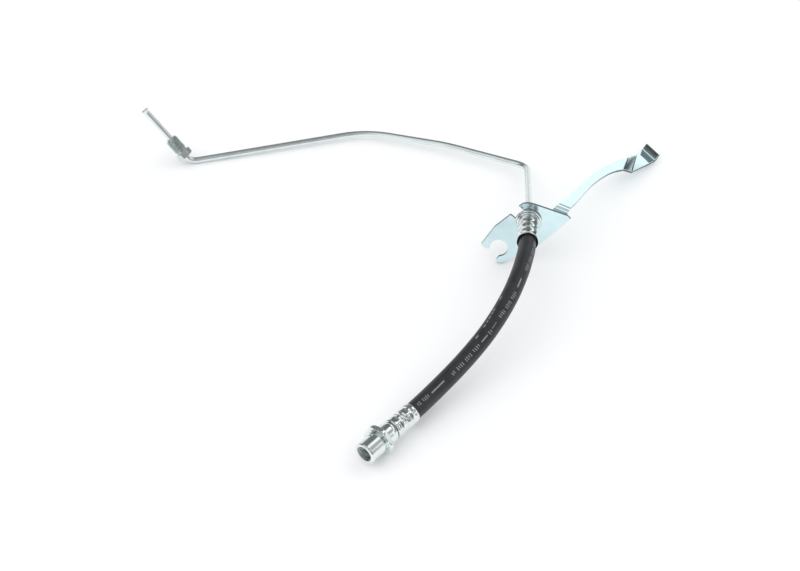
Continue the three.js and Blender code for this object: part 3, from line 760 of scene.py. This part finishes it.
def arm_edge(index):
    """One long edge of the arm's upper face, from its foot to its lip, with matching steps on both edges."""
    root_steps = 24
    lip_steps = 12
    bend_back = (SHEET + CLEARANCE + ARM_BEND) / math.cos(ARM_RISE) - ARM_BEND * math.tan(ARM_RISE)
    bend = math.pi / 2 - ARM_RISE
    foot_x = (0, ARM_WIDTH)[index]
    foot_y = bend_back - ARM_BEND * math.sin(bend)
    foot_z = ARM_BEND * (math.cos(bend) - 1)
    line = [Vector((foot_x, foot_y - ARM_FOOT * math.sin(ARM_RISE), foot_z - ARM_FOOT * math.cos(ARM_RISE)))]
    for k in range(root_steps):
        a = bend * (1 - k / root_steps)
        y = bend_back - ARM_BEND * math.sin(a)
        share = (y - foot_y) / (bend_back - foot_y)
        x = foot_x + (arm_edges[0][index][0] - foot_x) * share
        line.append(Vector((x, y, ARM_BEND * (math.cos(a) - 1))))
    flat = through([Vector((*pair[index], 0)) for pair in arm_edges])
    line += flat[:-1]
    line += fold(flat[-2], flat[-1], pad_start[index])
    line += fold(flat[-1], pad_start[index], pad_end[index])
    base = (pad_end[0] - pad_end[1]).normalized()
    outward = Vector((base.y, -base.x, 0))
    set_back = LIP_BEND * math.tan(LIP_LEAN / 2)
    for k in range(lip_steps + 1):
        a = LIP_LEAN * k / lip_steps
        out = LIP_BEND * math.sin(a) - set_back
        line.append(pad_end[index] + outward * out + Vector((0, 0, LIP_BEND * (1 - math.cos(a)))))
    rise = Vector((0, 0, math.sin(LIP_LEAN)))
    line.append(pad_end[index] + (outward * math.cos(LIP_LEAN) + rise) * LIP_LENGTH)
    return line


def sheet_strip(name, backs, fronts, matrix):
    """A strip of sheet under its upper face, with small chamfers along its four long corners."""
    chamfer = 0.2
    normals = []
    for i in range(len(backs) - 1):
        normals.append((fronts[i + 1] - backs[i]).cross(backs[i + 1] - fronts[i]).normalized())
    rings = []
    for i, (b, f) in enumerate(zip(backs, fronts)):
        following = normals[min(len(normals) - 1, i)]
        n = (normals[max(0, i - 1)] + following).normalized()
        n /= n.dot(following)
        inset = (b - f).normalized() * chamfer
        rings.append([
            f + inset, b - inset, b - n * chamfer, b - n * (SHEET - chamfer), b - inset - n * SHEET,
            f + inset - n * SHEET, f - n * (SHEET - chamfer), f - n * chamfer,
        ])
    return grid_object(name, rings, closed=False, matrix=matrix, angle=25)


# Each ring of the strip has eight sides, of which the third and the seventh are cut edges; they and the two
# end faces take the painted dark reflection of the cut edges
STRIP_SIDES = 8
CUT_SIDES = (2, 6)
arm = sheet_strip("arm", arm_edge(0), arm_edge(1), ARM)
finish_piece(arm, strap_face, "zinc_sheet", "bracket_arm")
# The arm's cut edges and ends take the dark colour, a painted reflection
arm.data.materials.append(painted_dark_edge)
for i, face in enumerate(arm.data.polygons):
    at_end = i >= len(arm.data.polygons) - 2
    face.material_index = 1 if at_end or i % STRIP_SIDES in CUT_SIDES else 0

# Generic print on the hose: thin bars, each from a start to an end along the hose, in metres from the
# upper mouth, and from a low to a high angle round it, in degrees from the top

PRINT_ABOVE = 0.00004
PRINT_BELOW = 0.0001
MARK_PITCH = 0.0016
MARK_WIDTH = 0.0006


def on_hose(distance, angle, radius):
    """A point on the hose: distance from the upper mouth and radius in metres, angle from the top."""
    i = 0
    while i < len(hose_reach) - 2 and hose_reach[i + 1] < distance:
        i += 1
    t = (distance - hose_reach[i]) / (hose_reach[i + 1] - hose_reach[i])
    centre = hose_line[i].lerp(hose_line[i + 1], t)
    tangent = hose_frames[i][0].lerp(hose_frames[i + 1][0], t).normalized()
    top = (Z_AXIS - tangent * tangent.z).normalized()
    side = top.cross(tangent)
    return centre + top * (radius * math.cos(angle)) + side * (radius * math.sin(angle))


def print_bar(start, end, low, high):
    """The rings of one thin bar on the hose."""
    rings = []
    along = max(2, round((end - start) / 0.0015))
    over = max(2, round((high - low) / 8))
    angles = [math.radians(low + (high - low) * k / over) for k in range(over + 1)]
    for i in range(along + 1):
        s = start + (end - start) * i / along
        outer = [on_hose(s, a, HOSE / 2 * MM + PRINT_ABOVE) for a in angles]
        inner = [on_hose(s, a, HOSE / 2 * MM - PRINT_BELOW) for a in angles]
        rings.append(outer + inner[::-1])
    return rings


def print_object(name, bars):
    """All bars in one object."""
    verts = []
    faces = []
    for bar in bars:
        rings = print_bar(*bar)
        faces += grid_faces(len(rings), len(rings[0]), base=len(verts))
        verts += [tuple(point) for ring in rings for point in ring]
    mesh = bpy.data.meshes.new(name)
    mesh.from_pydata(verts, [], faces)
    return make_object(name, mesh, 30)


# Long dashes on the print's line, then the specks on the hose's left side
print_bars = [
    (0.0407, 0.0482, 30, 39), (0.0774, 0.0826, 31, 35), (0.0882, 0.0943, 30, 38), (0.1313, 0.1436, 21, 30),
    (0.0585, 0.0612, -38, -29), (0.0690, 0.0712, -33, -24), (0.0722, 0.0738, -31, -21),
    (0.0751, 0.0778, -27, -19), (0.0790, 0.0806, -24, -15), (0.0822, 0.0848, -21, -13),
    (0.0918, 0.0946, -16, -6),
]
# Rows of short cross bars in groups of four, from a first to a last angle
for start, end, first, last in [
    (0.004, 0.034, 57, 44), (0.052, 0.074, 40, 31), (0.084, 0.0875, 39, 37), (0.097, 0.125, 34, 34),
    (0.1465, 0.158, 23, 20),
]:
    marks = round((end - start) / MARK_PITCH)
    for i in range(marks):
        if i % 5 == 4:
            continue
        at = start + (end - start) * i / marks
        middle = first + (last - first) * i / marks
        low = middle - (13 if i % 2 else 10)
        high = middle + (13 if i % 3 else 8)
        print_bars.append((at, at + MARK_WIDTH, low, high))
hose_print = print_object("hose_print", print_bars)
finish_piece(hose_print, ink, "rubber")

# Floor

FLOOR_REACH = 3
floor_mesh = bpy.data.meshes.new("floor")
floor_corners = [(x * FLOOR_REACH, y * FLOOR_REACH, 0) for x, y in [(-1, -1), (1, -1), (1, 1), (-1, 1)]]
floor_mesh.from_pydata(floor_corners, [], [(0, 1, 2, 3)])
floor = bpy.data.objects.new("floor", floor_mesh)
bpy.context.scene.collection.objects.link(floor)
floor.location.z = -0.0002
floor_nodes = Nodes("floor_white")
floor_nodes.set("Base Color", (0.96, 0.96, 0.96, 1))
floor_nodes.set("Roughness", 0.9)
floor_mesh.materials.append(floor_nodes.material)

# World: an even pale sky, with darker and lighter zones that only glossy rays see

world = bpy.data.worlds.new("studio")
bpy.context.scene.world = world
world.use_nodes = True
sky = world.node_tree


def math_node(operation, first, second):
    """The result of one operation on two values."""
    return add_node(sky, "ShaderNodeMath", {0: first, 1: second}, operation=operation).outputs[0]


def level_ramp(source, stops):
    """Grey levels over a value from -1 to 1."""
    shifted = add_node(sky, "ShaderNodeMapRange", {"Value": source, "From Min": -1, "From Max": 1})
    return add_ramp(sky, shifted.outputs[0], [((at + 1) / 2, (level,) * 3) for at, level in stops])


def blend(share, first, second):
    """The first colour where the share is 0, and the second where it is 1."""
    inputs = {"Factor": share, "A": first, "B": second}
    return add_node(sky, "ShaderNodeMix", inputs, data_type="RGBA").outputs["Result"]


sky_place = add_node(sky, "ShaderNodeTexCoord").outputs["Generated"]
split = add_node(sky, "ShaderNodeSeparateXYZ", {0: sky_place})
height = split.outputs["Z"]
azimuth = math_node("DIVIDE", math_node("ARCTAN2", split.outputs["X"], split.outputs["Y"]), math.pi)

# Each sector lies between two azimuths in degrees, and holds grey levels over the direction's height
SECTOR_EDGE = 2
sectors = [
    (-60, -12, [(-1.0, 0.9), (0.28, 0.9), (0.36, 0.20), (0.80, 0.22), (1.0, 0.26)]),
    (14, 28, [(-1.0, 0.9), (0.2, 0.9), (0.26, 1.15), (0.52, 1.15), (0.58, 0.14), (0.85, 0.16), (1.0, 0.26)]),
    (28, 50, [(-1.0, 0.9), (-0.3, 0.9), (-0.22, 0.05), (0.33, 0.05), (0.37, 1.1), (0.52, 1.1), (0.58, 0.12),
              (0.74, 0.12), (0.78, 1.3), (0.84, 1.3), (0.88, 0.2), (1.0, 0.26)]),
    (50, 62, [(-1.0, 0.9), (-0.3, 0.9), (-0.22, 0.05), (0.33, 0.05), (0.37, 0.95), (0.54, 0.95),
              (0.58, 0.08), (0.74, 0.08), (0.77, 1.3), (0.83, 1.3), (0.87, 0.2), (1.0, 0.26)]),
    (62, 81, [(-1.0, 0.95), (0.0, 0.95), (0.06, 0.3), (0.38, 0.3), (0.42, 0.95), (0.50, 0.95), (0.54, 0.06),
              (0.77, 0.06), (0.85, 0.2), (1.0, 0.26)]),
    (81, 94, [(-1.0, 0.95), (0.50, 0.95), (0.54, 0.06), (0.77, 0.06), (0.85, 0.2), (1.0, 0.26)]),
    (94, 134, [(-1.0, 0.95), (0.0, 0.95), (0.05, 0.26), (0.5, 0.26), (0.58, 0.08), (0.68, 0.08), (0.72, 1.3),
               (0.81, 1.3), (0.85, 0.2), (1.0, 0.26)]),
    (134, 168, [(-1.0, 0.95), (-0.05, 0.95), (0.02, 0.30), (0.42, 0.30), (0.5, 0.7), (0.62, 0.6), (0.8, 0.2),
                (1.0, 0.26)]),
    (168, 184, [(-1.0, 0.95), (0.3, 0.85), (0.62, 0.30), (0.8, 0.14), (1.0, 0.26)]),
    (-184, -140, [(-1.0, 0.95), (0.3, 0.85), (0.62, 0.30), (0.8, 0.14), (1.0, 0.26)]),
    (-140, -60, [(-1.0, 0.9), (-0.2, 0.9), (-0.1, 0.05), (0.34, 0.05), (0.42, 0.34), (0.8, 0.14),
                 (1.0, 0.26)]),
]
studio = level_ramp(height, [
    (-1.0, 0.9), (0.20, 0.88), (0.27, 0.12), (0.80, 0.16), (0.9, 0.24), (1.0, 0.26)])
for low, high, levels in sectors:
    mask = level_ramp(azimuth, [
        ((low - SECTOR_EDGE) / 180, 0.0), ((low + SECTOR_EDGE) / 180, 1.0),
        ((high - SECTOR_EDGE) / 180, 1.0), ((high + SECTOR_EDGE) / 180, 0.0)])
    studio = blend(mask, studio, level_ramp(height, levels))
rays = add_node(sky, "ShaderNodeLightPath").outputs
light = blend(rays["Is Glossy Ray"], (0.92, 0.93, 0.94, 1), studio)
put(sky, sky.nodes["Background"], "Color", blend(rays["Is Camera Ray"], light, (1, 1, 1, 1)))
put(sky, sky.nodes["Background"], "Strength", 1.0)

# Lamps


def area_lamp(name, position, target, size, power):
    """A square lamp at a position in metres, turned to a target."""
    data = bpy.data.lights.new(name, "AREA")
    data.size = size
    data.energy = power
    lamp = bpy.data.objects.new(name, data)
    bpy.context.scene.collection.objects.link(lamp)
    lamp.location = position
    direction = Vector(target) - Vector(position)
    lamp.rotation_euler = direction.to_track_quat("-Z", "Y").to_euler()


area_lamp("key", (-0.7, -0.7, 1.3), (0, -0.05, 0), size=1.6, power=5)
area_lamp("fill", (1.0, 0.3, 1.1), (0.05, -0.05, 0), size=1.4, power=2.5)

bpy.context.scene.view_settings.view_transform = "Standard"
